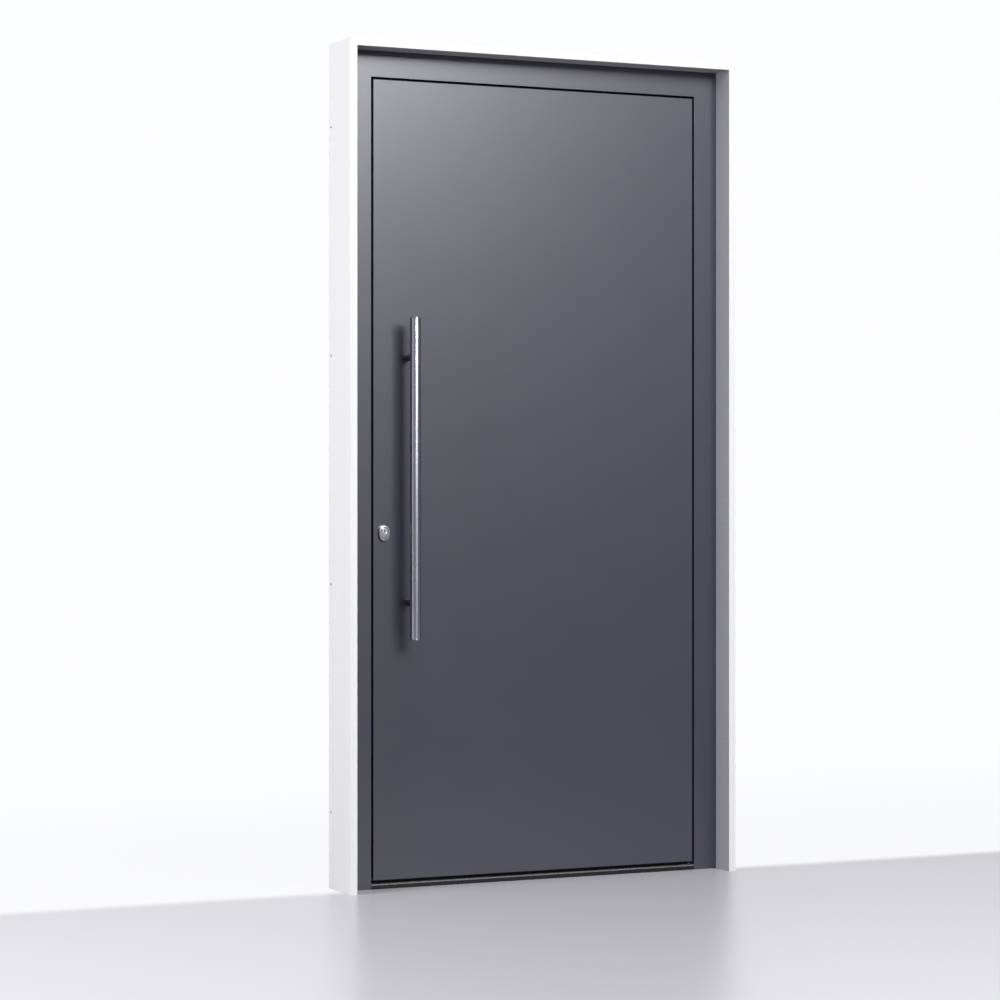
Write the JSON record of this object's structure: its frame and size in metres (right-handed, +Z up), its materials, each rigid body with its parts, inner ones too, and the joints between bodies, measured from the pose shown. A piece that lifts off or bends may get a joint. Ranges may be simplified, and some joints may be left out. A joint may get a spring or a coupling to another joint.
{
  "type": "entry door",
  "caption": "Flush aluminium entry door in a lined reveal, with a leaf that opens inward, a long round pull bar, an oval cylinder shield, a lever inside and barrel hinges.",
  "frame": {"origin": "on the flat underside of the threshold, at mid-width and mid-depth of the door frame", "axes": "+X to the right seen from outside, +Y into the building, +Z up"},
  "size_m": [1.14, 0.215, 2.22],
  "materials": {
    "frame_coat": "satin",
    "leaf_coat": "satin",
    "threshold_metal": "satin",
    "thermal_break": "matte",
    "seal_rubber": "matte",
    "foam": "matte",
    "reveal_lining": "matte",
    "lock_steel": "satin",
    "hinge_metal": "satin",
    "handle_steel": "satin",
    "dark_post": "satin",
    "shield_steel": "satin",
    "cylinder_nickel": "satin"
  },
  "bodies": {
    "door_frame": {"reveal_board_left": "reveal_lining", "reveal_board_right": "reveal_lining", "reveal_board_head": "reveal_lining", "jamb_left_outer_profile": "frame_coat", "jamb_right_outer_profile": "frame_coat", "head_outer_profile": "frame_coat", "jamb_left_inner_profile": "frame_coat", "jamb_right_inner_profile": "frame_coat", "head_inner_profile": "frame_coat", "frame_thermal_bars": "thermal_break", "frame_gasket": "seal_rubber", "threshold_outer_sill": "threshold_metal", "threshold_thermal_break": "thermal_break", "threshold_inner_sill": "threshold_metal", "strike_plate_lock": "lock_steel", "strike_plates_hooks": "lock_steel", "hinge_bottom_frame_wing": "hinge_metal", "hinge_middle_frame_wing": "hinge_metal", "hinge_top_frame_wing": "hinge_metal", "hinge_pins": "hinge_metal"},
    "door_leaf": {"leaf_outer_panel": "leaf_coat", "leaf_foam_core": "foam", "leaf_thermal_ring": "thermal_break", "leaf_stile_lock": "leaf_coat", "leaf_stile_hinge": "leaf_coat", "leaf_rail_bottom": "leaf_coat", "leaf_rail_top": "leaf_coat", "leaf_inner_panel": "leaf_coat", "leaf_bottom_seal": "seal_rubber", "lock_faceplate": "lock_steel", "latch_bolt": "lock_steel", "dead_bolt": "lock_steel", "hook_bolts": "lock_steel", "outer_shield": "shield_steel", "inner_shield": "shield_steel", "lock_cylinder": "cylinder_nickel", "inner_handle_rose": "handle_steel", "inner_handle_lever": "handle_steel", "pull_bar": "handle_steel", "pull_bar_cap_top": "handle_steel", "pull_bar_cap_bottom": "handle_steel", "pull_post_lower": "dark_post", "pull_post_upper": "dark_post", "hinge_bottom_leaf_wing": "hinge_metal", "hinge_middle_leaf_wing": "hinge_metal", "hinge_top_leaf_wing": "hinge_metal"}
  },
  "joints": [
    {"name": "leaf_hinge", "type": "hinge", "parent": "door_frame", "child": "door_leaf", "pos_m": [0.496, 0.049, 1.08], "axis": [0, 0, -1], "range_deg": [0, 100]}
  ]
}
